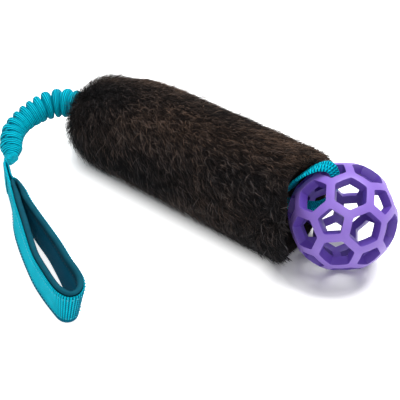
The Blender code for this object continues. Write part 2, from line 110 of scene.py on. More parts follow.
class Finish:
    def __init__(self, name, store="materials", end="Principled BSDF", **fixed):
        self.block = getattr(bpy.data, store).new(name)
        self.block.use_nodes = True
        self.tree = self.block.node_tree
        self.shader = self.tree.nodes[end]
        self.done(**fixed)

    # a node with values or signals for its sockets, and its settings by name
    def node(self, kind, feeds=None, out=0, **settings):
        made = self.tree.nodes.new("ShaderNode" + kind)
        for name, value in settings.items():
            setattr(made, name, value)
        for name, value in (feeds or {}).items():
            self.feed(made.inputs[name], value)
        return Signal(self, made.outputs[out])

    def feed(self, socket, value):
        if isinstance(value, Signal):
            self.tree.links.new(value.socket, socket)
        elif isinstance(value, tuple) and len(value) == 3 and len(socket.default_value) == 4:
            socket.default_value = (*value, 1)
        else:
            socket.default_value = value

    def place(self):
        return self.node("TexCoord", out="Object")

    def noise(self, scale, detail, rough=0.5):
        return self.node("TexNoise", {"Vector": self.place(), "Scale": scale,
                                      "Detail": detail, "Roughness": rough})

    def noises(self, kinds):
        return [self.noise(*kind) for kind in kinds]

    # the three parts of a place or a colour
    def split(self, kind, value):
        first = self.node("Separate" + kind, {0: value})
        return [Signal(self, part) for part in first.socket.node.outputs]

    def attribute(self, name):
        return self.split("Color", self.node("Attribute", out="Color", attribute_name=name))

    # across and along a strip, in metres, from its own map
    def weave(self):
        return self.split("XYZ", self.node("UVMap", uv_map="weave"))[:2]

    def blend(self, share, low, high):
        return self.node("Mix", {0: share, 6: low, 7: high}, out=2, data_type="RGBA")

    def bump(self, height, depth):
        return self.node("Bump", {"Strength": 1, "Distance": depth, "Height": height})

    def done(self, **feeds):
        for socket, value in feeds.items():
            self.feed(self.shader.inputs[socket.replace("_", " ")], value)
        return self.block


# Pitches and rises in metres; noises as scale, detail and roughness
webbing = {"ribPitch": 0.0019, "yarnPitch": 0.001, "ribRise": 0.00022, "pointsPerRib": 4,
           "edgeWave": 0.012, "deep": (0, 0.06, 0.125), "lit": (0, 0.41, 0.55),
           "crestHighlight": (0, 0.76, 0.95), "noises": ((90, 3), (1800, 2)), "relief": 0.0006}


def webbingFinish():
    finish = Finish("ribbedWebbing", Specular_IOR_Level=0.04)
    across, along = finish.weave()
    rib = along.wave(webbing["ribPitch"])
    slant = along * (1 / webbing["ribPitch"]) + across * (0.5 / webbing["yarnPitch"])
    yarn = slant.wave()
    blotch, fuzz = finish.noises(webbing["noises"])
    light = rib * 0.56 + yarn * 0.18 + blotch * 0.24 + fuzz * 0.14
    # painted shade in the rib grooves and painted highlight on the rib crests, mixed with the
    # yarn's own blotches and fuzz
    colour = finish.blend(light.spread(0.22, 0.66), webbing["deep"], webbing["lit"])
    colour = finish.blend(light.spread(0.66, 1), colour, webbing["crestHighlight"])
    height = rib * 0.7 + yarn * 0.2 + fuzz * 0.15
    return finish.done(Base_Color=colour, Roughness=0.7 - light * 0.15,
                       Normal=finish.bump(height, webbing["relief"]))


# The low part of the lining is painted brighter, up to the height band given last: painted light
# on the wall inside the loop
knit = {"walePitch": 0.0011, "coursePitch": 0.0009, "deep": (0.001, 0.046, 0.078),
        "lit": (0.004, 0.105, 0.15), "low": (0.001, 0.15, 0.245),
        "paintedLightTop": (0.0215, 0.0265), "noises": ((110, 4), (2400, 2)), "relief": 0.0003}


def liningFinish():
    finish = Finish("liningKnit", Specular_IOR_Level=0.1)
    across, along = finish.weave()
    stitches = across.wave(knit["walePitch"]) * along.wave(knit["coursePitch"])
    patch, fuzz = finish.noises(knit["noises"])
    light = stitches * 0.35 + patch * 0.5 + fuzz * 0.3
    # stitches and patches between a shaded and a lit tone of the lining: partly the knit's own
    # pattern, partly painted shade between the stitches
    colour = finish.blend(light.spread(0.25, 0.85), knit["deep"], knit["lit"])
    high = finish.split("XYZ", finish.place())[2]
    # painted light low on the wall inside the loop
    colour = finish.blend(high.spread(*knit["paintedLightTop"]), knit["low"], colour)
    return finish.done(Base_Color=colour, Roughness=0.88 - patch * 0.1,
                       Normal=finish.bump(stitches * 0.5 + fuzz * 0.5, knit["relief"]))


# Plain stuffs with a fine grain: roughness, noise scale and detail, relief, low, high
plainStuffs = {
    "sewingThread": (0.5, 2600, 1, 0.00008, (0, 0.34, 0.46), (0.03, 0.62, 0.76)),
    "darkThread": (0.5, 2600, 1, 0.00008, (0, 0.035, 0.07), (0.003, 0.065, 0.12)),
    "elasticCore": (0.7, 1500, 2, 0.0001, (0.5, 0.48, 0.43), (0.68, 0.66, 0.6)),
}


def plainFinish(name):
    rough, scale, detail, relief, low, high = plainStuffs[name]
    finish = Finish(name, Roughness=rough)
    grain = finish.noise(scale, detail)
    colour = finish.blend(grain.spread(0.35, 0.65), low, high)
    return finish.done(Base_Color=colour, Normal=finish.bump(grain, relief))


# Walls inside the windows are painted darker as painted shade, and the bevels along them paler as
# painted highlight
rubber = {"low": (0.215, 0.12, 0.52), "high": (0.265, 0.158, 0.58),
          "wall": (0.1, 0.046, 0.34), "bevelHighlight": (0.46, 0.33, 0.82), "bevelHighlightShare": 0.6,
          "noises": ((38, 3), (1400, 2), (240, 5, 0.65)), "relief": 0.00006}


def rubberFinish():
    finish = Finish("ballRubber", Specular_IOR_Level=0.45)
    cloud, grain, scuff = finish.noises(rubber["noises"])
    colour = finish.blend(cloud.spread(0.3, 0.7), rubber["low"], rubber["high"])
    outward = finish.attribute("outward")[0]
    # painted shade on the walls inside the windows
    colour = finish.blend(outward.spread(0.15, 0.45), rubber["wall"], colour)
    # painted highlight on the bevels, where faces turn half away from the middle
    edge = outward.spread(0.3, 0.55) * (1 - outward.spread(0.86, 0.97))
    colour = finish.blend(edge * rubber["bevelHighlightShare"], colour, rubber["bevelHighlight"])
    rough = 0.36 + cloud * 0.08 + scuff.spread(0.45, 0.75) * 0.12
    return finish.done(Base_Color=colour, Roughness=rough,
                       Normal=finish.bump(grain * 0.6 + scuff * 0.4, rubber["relief"]))


# Colours of the pile, cool and then warm, and of the skin under it
furColours = {"dark": ((0.0036, 0.0034, 0.0042), (0.009, 0.0052, 0.004)),
              "bright": ((0.1, 0.096, 0.102), (0.25, 0.15, 0.098)),
              "skin": ((0.006, 0.0045, 0.004), (0.022, 0.013, 0.009))}


def skinFinish():
    finish = Finish("pileBacking", Roughness=0.95)
    mottle, fine = finish.noises(((60, 4), (900, 3)))
    colour = finish.blend(mottle.spread(0.35, 0.7), *furColours["skin"])
    return finish.done(Base_Color=colour, Normal=finish.bump(fine, 0.001))


def furFinish():
    finish = Finish("furPile", Specular_IOR_Level=0.16)
    tone, reach, warm = finish.attribute("furTone")
    dark = finish.blend(warm, *furColours["dark"])
    bright = finish.blend(warm, *furColours["bright"])
    share = (tone * 0.74 + reach * 0.26).spread(0.36, 1) ** 1.5
    return finish.done(Base_Color=finish.blend(share, dark, bright), Roughness=0.62 - tone * 0.2)


# Smooth lines and meshes on a grid of points
def smoothLine(points, steps):
    spots = np.array(points, float)
    spots = np.vstack((2 * spots[0] - spots[1], spots, 2 * spots[-1] - spots[-2]))
    t = np.linspace(0, 1, steps, endpoint=False)[:, None]
    runs = []
    for before, start, end, after in zip(spots, spots[1:], spots[2:], spots[3:]):
        runs.append(0.5 * (2 * start + (end - before) * t
                           + (2 * before - 5 * start + 4 * end - after) * t ** 2
                           + (3 * start - before - 3 * end + after) * t ** 3))
    return np.vstack(runs + [spots[-2][None]])


def distances(line):
    steps = np.linalg.norm(np.diff(line[:, :3], axis=0), axis=1)
    return np.append(0, np.cumsum(steps))


# A line's values at places along it
def pickAlong(places, along, line):
    return np.stack([np.interp(places, along, column) for column in line.T], -1)


def evenLine(line, count):
    along = distances(line)
    return pickAlong(np.linspace(0, along[-1], count), along, line)


def unit(vectors):
    return vectors / np.maximum(np.linalg.norm(vectors, axis=-1, keepdims=True), 1e-12)


def fullTurn(count):
    return np.linspace(0, 2 * math.pi, count, endpoint=False)


# Directions round a line, from its side towards its up
def ringAround(side, up, turn):
    return (side[..., None, :] * np.cos(turn)[:, None]
            + up[..., None, :] * np.sin(turn)[:, None])


def addObject(name, mesh, finish):
    piece = addItem(name, mesh)
    mesh.materials.append(finish)
    return piece


# A smooth closed body with its faces turned outwards, and its weave map where it has one
def addBody(name, verts, faces, finish, weave=None, merge=0):
    mesh = bpy.data.meshes.new(name)
    mesh.from_pydata(np.reshape(verts, (-1, 3)).tolist(), [], faces)
    if weave is not None:
        layer = mesh.uv_layers.new(name="weave")
        layer.data.foreach_set("uv", weave.astype(np.float32).ravel())
    shape = bmesh.new()
    shape.from_mesh(mesh)
    if merge:
        bmesh.ops.remove_doubles(shape, verts=shape.verts, dist=merge)
        bmesh.ops.dissolve_degenerate(shape, edges=shape.edges, dist=merge)
    bmesh.ops.recalc_face_normals(shape, faces=shape.faces)
    shape.to_mesh(mesh)
    shape.free()
    mesh.shade_smooth()
    return addObject(name, mesh, finish)


# Faces between rings of points, and the row and column of each corner
def ringFaces(rows, columns, bands):
    i, j = np.meshgrid(np.arange(bands), np.arange(columns), indexing="ij")
    places = ((i, j), (i + 1, j), (i + 1, j + 1), (i, j + 1))
    quads = np.stack([row % rows * columns + column % columns for row, column in places], -1)
    return places, quads.reshape(-1, 4).tolist()


# A closed body on rows of points, with its weave map; its ends are flat, or meet in a loop
def gridPiece(name, points, across, along, finish, loop=False):
    rows, columns = points.shape[:2]
    places, faces = ringFaces(rows, columns, rows if loop else rows - 1)
    u = np.append(across, across[-1] + across[1] if loop else across[0])
    v = np.append(along, along[-1])
    corners = np.stack([np.stack((u[column], v[row]), -1) for row, column in places], 2)
    weave = corners.reshape(-1, 2)
    if not loop:
        last = (rows - 1) * columns
        faces += [list(range(columns)), list(range(last, last + columns))[::-1]]
        start, end = (np.stack((across, 0 * across + place), -1) for place in along[[0, -1]])
        weave = np.vstack((weave, start, end[::-1]))
    piece = addBody(name, points, faces, finish, weave)
    if not loop:
        piece.data.set_sharp_from_angle(angle=math.radians(60))
    return piece


def rodPiece(name, line, side, up, radius, around, along, finish):
    turn = fullTurn(around)
    ring = ringAround(side, up, turn) * radius
    return gridPiece(name, line[:, None] + ring, turn * radius, along, finish)


# Webbing between two edge lines, its ribs standing across it; normals point to its face
def ribbedStrip(name, low, high, thick, finish, normals=None, pitch=webbing["ribPitch"],
                rib=webbing["ribRise"], columns=12, lift=None):
    along = distances((low + high) / 2)
    count = max(8, int(along[-1] / pitch * webbing["pointsPerRib"])) + 1
    places = np.linspace(0, along[-1], count)
    low, high = (pickAlong(places, along, line) for line in (low, high))
    if normals is None:
        run = unit(np.gradient((low + high) / 2, axis=0))
        face = unit(np.cross(unit(high - low), run))
    else:
        face = unit(pickAlong(places, along, normals))
    wave = np.cos(places / pitch * 2 * math.pi)
    share = np.linspace(0, 1, columns)
    selvedge = np.minimum(share, 1 - share) * (columns - 1) < 0.5
    width = np.linalg.norm(high - low, axis=1)
    half = (thick / 2 * np.where(selvedge, 0.55, 1)
            + rib * wave[:, None] * np.where(selvedge, 0.4, 1))
    bulge = np.zeros((count, columns)) if lift is None else lift(places / along[-1], share)
    waver = webbing["edgeWave"] * wave[:, None, None]
    spread = share[:, None] * (1 + waver) - waver / 2
    base = low[:, None] + (high - low)[:, None] * spread + face[:, None] * bulge[..., None]
    depth = face[:, None] * half[..., None]
    points = np.concatenate((base + depth, (base - depth)[:, ::-1]), 1)
    across = np.concatenate((share, share[::-1])) * width.mean()
    return gridPiece(name, points, across, places, finish)


# Bungee: the elastic core is the cord, and the gathered cover rides on it
bungee = {
    "route": (
        (-0.1315, 0.0076, 0.0422), (-0.139, 0.0045, 0.0425), (-0.1462, 0.0008, 0.0422),
        (-0.1525, -0.0048, 0.0412), (-0.1568, -0.012, 0.0394), (-0.1602, -0.0198, 0.037),
        (-0.1626, -0.028, 0.0342), (-0.1636, -0.0362, 0.031), (-0.1622, -0.0445, 0.0276),
        (-0.158, -0.052, 0.0242), (-0.1522, -0.0586, 0.0208), (-0.1468, -0.0638, 0.0182)),
    "coreRadius": 0.004, "coreInset": 0.0012, "boreRadius": 0.0046,
    "coverRadius": 0.0114, "valleyRadius": 0.0066, "innerFill": 0.0036,
    "rings": 620, "around": 64,
    # place along the cover, half width, depth all round, depth on the outer side
    "folds": ((0.045, 0.036, 0.75, 0.9), (0.125, 0.04, 1, 1), (0.212, 0.04, 1, 1),
              (0.3, 0.04, 0.9, 1), (0.382, 0.036, 0.55, 0.9), (0.455, 0.034, 0.4, 0.9),
              (0.527, 0.034, 0.4, 0.9), (0.598, 0.034, 0.35, 0.9), (0.67, 0.034, 0.35, 0.9),
              (0.742, 0.034, 0.35, 0.9), (0.815, 0.034, 0.3, 0.8), (0.888, 0.034, 0.3, 0.7),
              (0.96, 0.036, 0.3, 0.5)),
    # along the cover: how the folds slant, and how full it is
    "slant": ((0, 0.3, 0.6, 1), (0.3, 0.6, 1.6, 2.2)),
    "fullness": ((0, 0.02, 0.36, 0.55, 0.9, 0.96, 1), (0.76, 1.1, 1.1, 0.97, 0.94, 0.74, 0.42)),
}


# Side and up of a line at each of its points, the side being level
def lineFrames(line):
    run = unit(np.gradient(line, axis=0))
    side = unit(np.cross(run, (0, 0, 1)))
    return side, np.cross(side, run)


def makeElastic(finish):
    line = smoothLine(bungee["route"], 24)
    along = distances(line)
    keep = np.linspace(bungee["coreInset"], along[-1] - bungee["coreInset"], 60)
    path = pickAlong(keep, along, line)
    return rodPiece("elasticCore", path, *lineFrames(path), bungee["coreRadius"], 16, keep,
                    finish), path


# A tube of webbing pushed up into folds: deep rings at the neck, then lobes outside
def makeCover(finish):
    line = evenLine(smoothLine(bungee["route"], 60), bungee["rings"])
    along = distances(line)
    share = along / along[-1]
    side, up = lineFrames(line)
    turn = fullTurn(bungee["around"])
    # side points to the outside of the arc
    outer = 0.5 + np.cos(turn - math.radians(20)) * 0.5
    tilt = 0.012 * np.sin(turn + 0.6) + 0.004 * np.sin(3 * turn)
    slant = np.interp(share, *bungee["slant"])
    spot = share[:, None] + tilt * slant[:, None]
    rise = np.zeros((bungee["rings"], bungee["around"]))
    for place, half, allRound, outside in bungee["folds"]:
        shape = np.clip(1 - np.abs((spot - place) / half) ** 2.4, 0, 1) ** 0.55
        rise = np.maximum(rise, shape * (allRound + (outside - allRound) * outer))
    fuller = np.interp(share, (0.3, 0.42), (0.35, 1))[:, None] * (1 - outer)
    valley = bungee["valleyRadius"] + bungee["innerFill"] * fuller
    size = valley + (bungee["coverRadius"] - valley) * rise
    fullness = np.interp(share, *bungee["fullness"])
    size = np.maximum(size * fullness[:, None], bungee["boreRadius"] + 0.0009)
    ring = ringAround(side, up, turn)
    points = line[:, None] + ring * size[..., None]
    cloth = distances(np.stack((along, size.mean(1) * 1.5), 1))
    # the inner wall closes the tube round its bore
    inner = (line[:, None] + ring * bungee["boreRadius"])[::-1]
    points = np.concatenate((points, inner[1:-1:6]), 0)
    places = np.concatenate((cloth, cloth[::-1][1:-1:6]))
    return gridPiece("gatheredCover", points, turn * 0.009, places, finish, loop=True)


teal = webbingFinish()
core, corePath = makeElastic(plainFinish("elasticCore"))
cover = makeCover(teal)
print("bungee made")


# The flat end of the bungee, from the cover's round end to its tip and the sewn lug
tail = {
    # place, half width, half thickness and the way across; it starts inside the cover's end
    "sections": (
        (-0.1478, -0.063, 0.0186, 0.0038, 0.0038, 0.2, -0.4, 0.89),
        (-0.1466, -0.064, 0.0182, 0.006, 0.0055, 0.2, -0.4, 0.89),
        (-0.1446, -0.0662, 0.0186, 0.0066, 0.0044, 0.18, -0.48, 0.86),
        (-0.1415, -0.07, 0.0202, 0.0066, 0.0026, 0.17, -0.55, 0.82),
        (-0.1388, -0.074, 0.0218, 0.0062, 0.0015, 0.17, -0.57, 0.8),
        (-0.1386, -0.0747, 0.0226, 0.0058, 0.0013, 0.17, -0.57, 0.8),
        (-0.1374, -0.0786, 0.0247, 0.0046, 0.0012, 0.04, -0.2, 0.98),
        (-0.1346, -0.082, 0.0243, 0.0041, 0.0012, 0, 0, 1)),
    "around": 40, "rings": 90, "flatness": 0.55,
}


def makeTail(finish):
    rows = evenLine(smoothLine(tail["sections"], 20), tail["rings"])
    line = rows[:, :3]
    run = unit(np.gradient(line, axis=0))
    across = unit(rows[:, 5:8])
    out = unit(np.cross(run, across))
    turn = fullTurn(tail["around"])
    side, rise = (np.sign(wave) * np.abs(wave) ** tail["flatness"]
                  for wave in (np.cos(turn), np.sin(turn)))
    along = distances(line)
    rib = webbing["ribRise"] * np.cos(along / webbing["ribPitch"] * 2 * math.pi)
    points = (line[:, None] + across[:, None] * rows[:, 3, None, None] * side[:, None]
              + out[:, None] * ((rows[:, 4] + rib)[:, None] * rise)[..., None])
    return gridPiece("bungeeTail", points, side * 0.008, along, finish)


tailPiece = makeTail(teal)


# Handle: webbing outside, padded lining inside, both on one leaning wall
handle = {
    # floor x, y of the line between webbing and lining, and its rim's x, y where it leans
    "path": (
        (-0.1345, -0.082), (-0.128, -0.0869), (-0.1193, -0.0935),
        (-0.1106, -0.1, -0.1097, -0.1007), (-0.0985, -0.1099, -0.0965, -0.1106),
        (-0.0852, -0.1225, -0.0836, -0.1203), (-0.068, -0.1353, -0.0661, -0.1327),
        (-0.0451, -0.1502, -0.0441, -0.1488), (-0.0255, -0.1618, -0.0255, -0.1617),
        (-0.0079, -0.1702, -0.0076, -0.171), (0.0085, -0.1768, 0.0105, -0.1795),
        (0.0165, -0.1794, 0.0218, -0.1822), (0.0212, -0.1786, 0.029, -0.1808),
        (0.0232, -0.1748, 0.0318, -0.1754), (0.0212, -0.1692, 0.0295, -0.1675),
        (0.015, -0.1625, 0.0217, -0.1595), (0.0062, -0.1558, 0.0103, -0.1531),
        (-0.0035, -0.1498, -0.0011, -0.1481), (-0.0215, -0.139, -0.0205, -0.138),
        (-0.0389, -0.1294), (-0.0609, -0.1193), (-0.0794, -0.1104), (-0.0951, -0.1014),
        (-0.1068, -0.0964), (-0.1103, -0.0956), (-0.1136, -0.0957), (-0.1189, -0.0929),
        (-0.1276, -0.0863), (-0.1341, -0.0814)),
    "liningRows": (3, 23), "liningWidth": 0.031, "liningThick": 0.0042, "gap": 0.0003,
    "webbingLow": 0.003, "webbingWidth": 0.025, "webbingThick": 0.002,
    "bend": 0.0019, "lowLip": (0.00145, -0.0011), "topLip": (0.0296, 0.0009),
    "lipRadius": 0.0014, "sectionPoints": 72, "seamDepth": 0.0005, "seamHalf": 0.0011,
    "seamInset": 0.0025, "stitch": 0.0016, "stitchGap": 0.0022, "threadRadius": 0.00042,
    # how thin the lining is sewn at its two ends, and over what length
    "endPress": (0.5, 0.4), "pressLength": 0.022,
}


# Lines on the leaning wall at two heights, and the level direction to its inner side
def wallLines(first, last, bottom, top):
    rows = [row * (4 // len(row)) for row in handle["path"][first:last + 1]]
    floor = smoothLine([(x, y, 0) for x, y, _, _ in rows], 24)
    rim = smoothLine([(x, y, handle["liningWidth"]) for _, _, x, y in rows], 24)
    low, high = (floor + (rim - floor) * (height / handle["liningWidth"])
                 for height in (bottom, top))
    run = np.gradient((low + high) / 2, axis=0)
    return low, high, unit(np.cross((0, 0, 1), run))


def makeHandleWebbing(finish):
    bottom = handle["webbingLow"]
    low, high, inward = wallLines(0, len(handle["path"]) - 1, bottom,
                                  bottom + handle["webbingWidth"])
    shift = inward * (handle["webbingThick"] / 2)
    return ribbedStrip("handleWebbing", low - shift, high - shift,
                       handle["webbingThick"] - 0.0003, finish, -inward, columns=14)


# Section of the lining as (height, depth): padded wall with a lip rolled out past each edge
def liningSection():
    width, thick, bend = handle["liningWidth"], handle["liningThick"] - 0.0002, handle["bend"]
    corners = []
    for (x, y), reach, start, end in (((width - bend, thick - bend), bend, 0, 90),
                                      ((bend, thick - bend), bend, 90, 180),
                                      (handle["lowLip"], handle["lipRadius"], 180, 360),
                                      (handle["topLip"], handle["lipRadius"], 180, 360)):
        for turn in np.radians(np.linspace(start, end, max(6, (end - start) // 15))):
            corners.append((x + reach * math.cos(turn), y + reach * math.sin(turn)))
    corners = np.array(corners + corners[:1])
    return evenLine(corners, handle["sectionPoints"] + 1)[:-1]


def seamHeights():
    low, inset = handle["webbingLow"], handle["seamInset"]
    return low + inset, low + handle["webbingWidth"] - inset


def makeLining(finish):
    low, high, inward = wallLines(*handle["liningRows"], 0, handle["liningWidth"])
    along = distances((low + high) / 2)
    count = int(along[-1] / 0.0016)
    places = np.linspace(0, along[-1], count)[1:-1]
    low, high, inward = (pickAlong(places, along, line) for line in (low, high, inward))
    inward = unit(inward)
    height, depth = liningSection().T
    groove = sum(np.exp(-((height - seam) / handle["seamHalf"]) ** 2) for seam in seamHeights())
    groove *= depth > handle["liningThick"] / 2
    pucker = 0.5 + 0.5 * np.sin(places / (handle["stitch"] + handle["stitchGap"]) * 2 * math.pi)
    depths = depth - handle["seamDepth"] * groove * (0.6 + 0.4 * pucker[:, None])
    start, end = handle["endPress"]
    press = np.interp(places, (0, handle["pressLength"], along[-1] - handle["pressLength"],
                               along[-1]), (start, 1, 1, end))
    depths *= press[:, None]
    rise = (high - low)[:, None] * (height / handle["liningWidth"])[:, None]
    points = low[:, None] + rise + inward[:, None] * (handle["gap"] + depths)[..., None]
    points[..., 2] = np.clip(points[..., 2], 0.0002, None)
    return gridPiece("handleLining", points, height, places, finish)


# A stitch as a short capsule along X, modelled once and copied
def capsule(length, radius):
    bpy.ops.mesh.primitive_uv_sphere_add(segments=8, ring_count=6, radius=radius)
    piece = bpy.context.object
    coords = np.array([v.co[:] for v in piece.data.vertices])[:, [2, 0, 1]]
    coords[:, 0] = np.clip(coords[:, 0] / radius, -1, 1) * length / 2
    faces = [list(face.vertices) for face in piece.data.polygons]
    bpy.data.objects.remove(piece, do_unlink=True)
    return coords, faces


# Stitches set end to end along a line on a surface whose outside is outward
def stitchRow(name, line, outward, finish):
    length, gap = handle["stitch"], handle["stitchGap"]
    form, faces = capsule(length, handle["threadRadius"])
    along = distances(line)
    verts, polys = [], []
    for k in range(int(along[-1] // (length + gap))):
        place = (k + 0.5) * (length + gap)
        start = pickAlong(place - length / 2, along, line)
        end = pickAlong(place + length / 2, along, line)
        up = unit(pickAlong(place, along, outward))
        run = unit(end - start)
        side = np.cross(up, run)
        bow = 1 - (form[:, 0] / (length / 2)) ** 2
        lift = form[:, 2] + handle["threadRadius"] * (bow * 0.7 - 0.25)
        spots = ((start + end) / 2 + form[:, :1] * run + form[:, 1:2] * side + lift[:, None] * up)
        polys += [[v + len(verts) for v in face] for face in faces]
        verts += spots.tolist()
    return addBody(name, verts, polys, finish)


# Both seams, seen on the webbing outside and on the lining inside
def makeSeams(finish, darkFinish):
    made = {}
    for word, height in zip(("lower", "upper"), seamHeights()):
        line, _, inward = wallLines(*handle["liningRows"], height, height)
        line, inward = line[20:-20], inward[20:-20]
        outside = line - inward * (handle["webbingThick"] + 0.00035)
        inside = line + inward * (handle["gap"] + handle["liningThick"] - 0.0006)
        made[word] = stitchRow(word + "SeamOutside", outside, -inward, finish)
        made[word + "Inside"] = stitchRow(word + "SeamInside", inside, inward, darkFinish)
    return made


thread = plainFinish("sewingThread")
handleWebbing = makeHandleWebbing(teal)
lining = makeLining(liningFinish())
seams = makeSeams(thread, plainFinish("darkThread"))
print("handle made")


# Bar tacks: a zigzag of thread where webbing is sewn to webbing
tackThread = {"radius": 0.0004, "around": 8, "stepsPerRun": 8}


def barTack(name, middle, along, up, out, length, height, runs, finish):
    middle, along, up, out = (np.array(v, float) for v in (middle, along, up, out))
    radius = tackThread["radius"]
    corners = [middle + along * length * (i / runs - 0.5) + up * height * (0.5 if i % 2 else -0.5)
               for i in range(runs + 1)]
    line = []
    for a, b in zip(corners, corners[1:]):
        for share in np.linspace(0, 1, tackThread["stepsPerRun"], endpoint=False):
            bow = radius * (1.2 - abs(2 * share - 1) ** 4)
            line.append(a + (b - a) * share + out * bow)
    line = np.array(line + [corners[-1] + out * radius * 0.2])
    run = unit(np.gradient(line, axis=0))
    side = unit(np.cross(run, out))
    return rodPiece(name, line, side, np.cross(side, run), radius, tackThread["around"],
                    distances(line), finish)


neckPlace = np.array((-0.1235, 0.0117, 0.0418))
neckAim = unit(np.array((-0.87, -0.49, 0)))
neckSide = np.array((-neckAim[1], neckAim[0], 0))
# middle, directions along, up and out, length, height and runs of thread
tacks = {
    "handleTack": ((-0.12582, -0.09136, 0.0155), (0.8, -0.6, 0), (0, 0, 1), (-0.6, -0.8, 0),
                   0.006, 0.019, 14),
    "neckTack": (neckPlace + neckAim * 0.004 + neckSide * 0.0012, neckAim, (0, 0, 1), neckSide,
                 0.003, 0.011, 8),
    "strapTack": ((0.0655, -0.0012, 0.0275), (0.83, 0, 0.56), (0, 1, 0), (-0.56, 0, 0.83),
                  0.005, 0.015, 10),
}
handleTack, neckTack, strapTack = (barTack(name, *facts, thread) for name, facts in tacks.items())


# Webbing at the neck and inside the sleeve, in rows of middle and half width
flatStraps = {
    "thick": 0.0018,
    "neckWebbing": (
        (neckPlace - neckAim * 0.0036, (0, 0, 0.0085)), (neckPlace, (0, 0, 0.0085)),
        (neckPlace + neckAim * 0.0086, (0, 0, 0.0062))),
    "coreWebbing": (
        ((-0.118, 0.0117, 0.0418), (0, 0, 0.0085)),
        ((-0.109, 0.0114, 0.0412), (0, 0, 0.0085)),
        ((-0.1, 0.0104, 0.0365), (0, 0.003, 0.009)),
        ((-0.08, 0.0082, 0.026), (0, 0.0095, 0.007)),
        ((-0.055, 0.0055, 0.019), (0, 0.0118, 0.003)),
        ((-0.015, 0.0015, 0.0165), (0, 0.0125, 0)),
        ((0.025, -0.0012, 0.0168), (0, 0.0125, 0)),
        ((0.056, -0.0015, 0.0185), (0, 0.0118, 0))),
}


# Smooth lines of a strap's middles and half widths
def strapLines(rows, steps):
    return [smoothLine(line, steps) for line in zip(*rows)]


def makeFlatStrap(name, steps, finish):
    middles, halves = strapLines(flatStraps[name], steps)
    return ribbedStrip(name, middles - halves, middles + halves, flatStraps["thick"], finish)


neckWebbing = makeFlatStrap("neckWebbing", 12, teal)
coreWebbing = makeFlatStrap("coreWebbing", 20, teal)


# Ball and its strap
ball = {"radius": 0.0415, "wall": 0.007, "rib": 0.0065, "chamfer": 0.0009, "corner": 0.0012,
        "middle": (0.139, 0.0036, 0.0415), "topWindow": (-0.225, -0.069, 0.972),
        "frontWindow": (0.256, -0.851, 0.459)}


def facing(main, side):
    z = Vector(main).normalized()
    x = (Vector(side) - Vector(side).project(z)).normalized()
    return Matrix((x, z.cross(x), z)).transposed().to_4x4()


# Selects what choose finds in edit mode
def selectBy(piece, kind, choose):
    bpy.ops.mesh.select_mode(type=kind)
    bpy.ops.mesh.select_all(action="DESELECT")
    shape = bmesh.from_edit_mesh(piece.data)
    for item in choose(shape):
        item.select = True
    shape.select_flush_mode()
    bmesh.update_edit_mesh(piece.data)
    return shape


# Edges of the windows and of the facets, without those that join the two
def windowEdges(shape):
    inner = {v for face in shape.faces if len(face.verts) > 4 for v in face.verts}
    return [e for e in shape.edges if (e.verts[0] in inner) == (e.verts[1] in inner)]


def windowCorners(shape):
    return {loop.vert for face in shape.faces if len(face.verts) > 4 for loop in face.loops
            if loop.calc_angle() < math.radians(150)}


def makeBall(finish):
    bpy.ops.mesh.primitive_ico_sphere_add(subdivisions=1, radius=ball["radius"])
    piece = bpy.context.object
    piece.name = "rubberBall"
    bpy.ops.object.mode_set(mode="EDIT")
    shape = selectBy(piece, "VERT", lambda shape: shape.verts)
    top = max(shape.verts, key=lambda v: v.co.z)
    beside = top.link_edges[0].other_vert(top)
    turn = (facing(ball["topWindow"], ball["frontWindow"])
            @ facing(top.co, beside.co).inverted())
    side = next(iter(shape.edges)).calc_length()
    bpy.ops.mesh.bevel(offset=side / 3, affect="VERTICES")
    shape = selectBy(piece, "FACE", lambda shape: shape.faces)
    reach = max(v.co.length for v in shape.verts)
    for vert in shape.verts:
        vert.co *= ball["radius"] / reach
    bpy.ops.mesh.inset(thickness=ball["rib"] / 2, use_individual=True, use_even_offset=True)
    selectBy(piece, "EDGE", windowEdges)
    bpy.ops.mesh.subdivide(number_cuts=1)
    selectBy(piece, "VERT", windowCorners)
    bpy.ops.mesh.bevel(offset=ball["corner"], affect="VERTICES", segments=2)
    selectBy(piece, "FACE", lambda shape: [f for f in shape.faces if len(f.verts) > 9])
    bpy.ops.mesh.delete(type="ONLY_FACE")
    bpy.ops.object.mode_set(mode="OBJECT")
    mesh = piece.data
    for vert in mesh.vertices:
        vert.co = turn.to_3x3() @ (vert.co.normalized() * ball["radius"])
        vert.co += Vector(ball["middle"])
    wall = piece.modifiers.new("wall", "SOLIDIFY")
    wall.thickness = ball["wall"]
    wall.offset = -1
    edge = piece.modifiers.new("ribEdges", "BEVEL")
    edge.width = ball["chamfer"]
    edge.segments = 3
    edge.angle_limit = math.radians(50)
    bpy.ops.object.modifier_apply(modifier="wall")
    bpy.ops.object.modifier_apply(modifier="ribEdges")
    # how far each face looks away from the ball's middle, which the finish uses to paint shade on
    # the inner walls and highlights on the bevels
    layer = mesh.color_attributes.new("outward", "FLOAT_COLOR", "CORNER")
    for face in mesh.polygons:
        away = (face.center - Vector(ball["middle"])).normalized()
        look = max(face.normal.dot(away), 0)
        for index in face.loop_indices:
            layer.data[index].color = (look, look, look, 1)
    mesh.shade_smooth()
    mesh.set_sharp_from_angle(angle=math.radians(40))
    mesh.materials.append(finish)
    return piece


def ballPolar(degrees, radius, y, half):
    turn = math.radians(degrees)
    x, _, z = ball["middle"]
    return x - radius * math.cos(turn), y, z + radius * math.sin(turn), half


